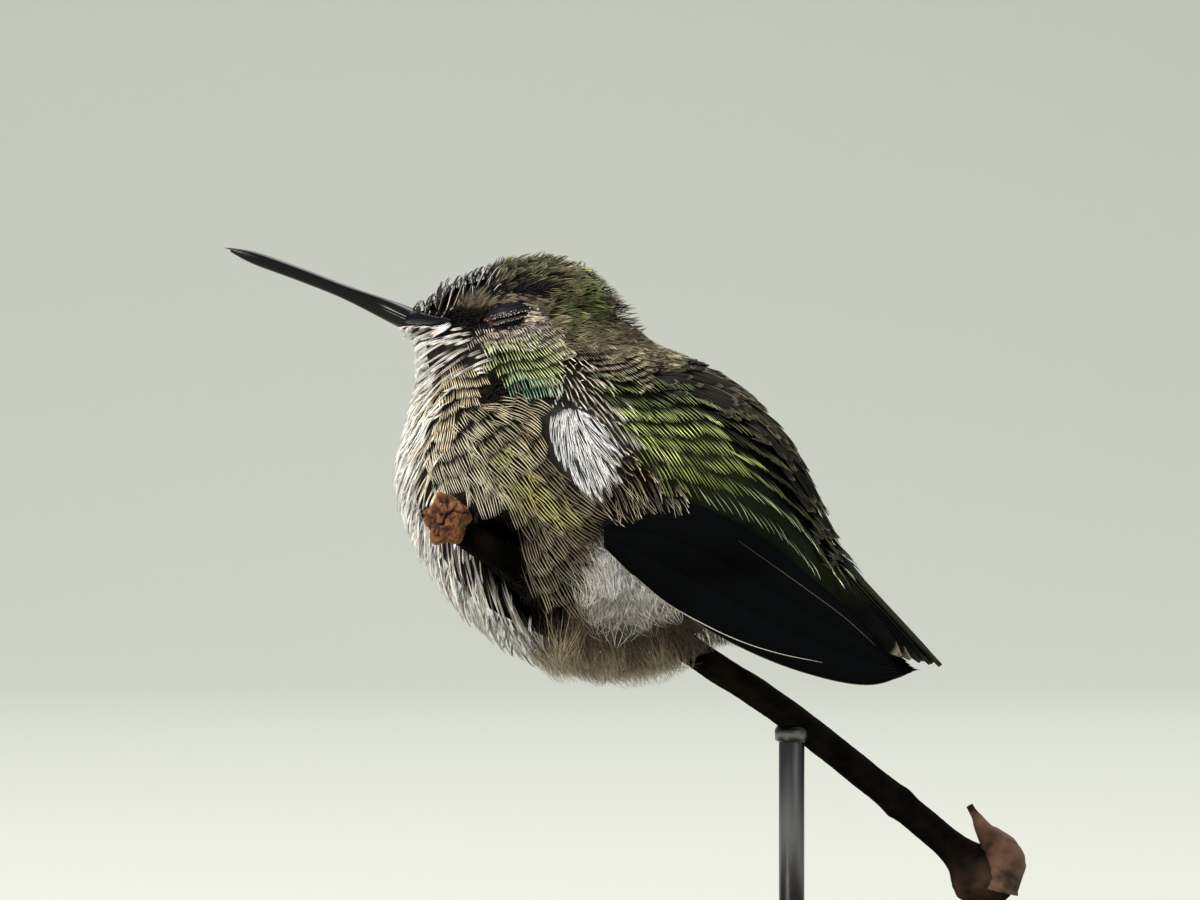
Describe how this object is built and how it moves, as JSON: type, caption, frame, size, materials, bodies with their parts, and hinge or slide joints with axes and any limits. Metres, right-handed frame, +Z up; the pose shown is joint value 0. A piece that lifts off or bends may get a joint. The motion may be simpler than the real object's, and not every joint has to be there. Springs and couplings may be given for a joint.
{
  "type": "hummingbird",
  "caption": "Sleeping hummingbird with fluffed plumage and a raised slender bill, gripping a slanting cut twig that rods hold above a flat display base.",
  "frame": {"origin": "centre of the underside of the stand's base, on the surface it stands on", "axes": "+Z up. The bird faces -X, so +X runs from its bill towards its tail, along the base's long side. Its left side faces -Y."},
  "size_m": [0.084, 0.058, 0.0795],
  "materials": {
    "head_plumage": "small scale-like feathers, dark with pale edges, olive green on the crown, pale grey on the throat",
    "neck_plumage": "small feathers in rows, pale grey in front, bronze green behind, soft and matte",
    "body_plumage": "fluffed feathers, grey-white below, gold green on the flank and iridescent bronze green on the back",
    "bill": "black horn with a soft gloss",
    "eye": "dark eye behind closed lids",
    "wing": "stiff, smooth, near-black flight feathers with a bluish cast",
    "tail": "stiff grey-green feathers with dark ends and pale corners",
    "leg": "fine dark scutes and black claws",
    "bark": "thin, dark, wrinkled bark, slightly glossy",
    "bud": "dry, crumpled, orange-brown scales",
    "rod": "thin satin steel rod",
    "stand_wood": "dark oiled hardwood with rounded edges"
  },
  "bodies": {
    "root": {"head": "head_plumage", "neck": "neck_plumage", "trunk": "body_plumage", "bill_upper": "bill", "bill_lower": "bill", "eye_left": "eye", "eye_right": "eye", "wing_left": "wing", "wing_right": "wing", "tail": "tail", "leg_left": "leg", "leg_right": "leg", "perch_twig": "bark", "perch_tip_bud": "bud", "perch_side_bud": "bud", "stand_rod_front": "rod", "stand_rod_rear": "rod", "stand_base": "stand_wood"}
  },
  "joints": []
}
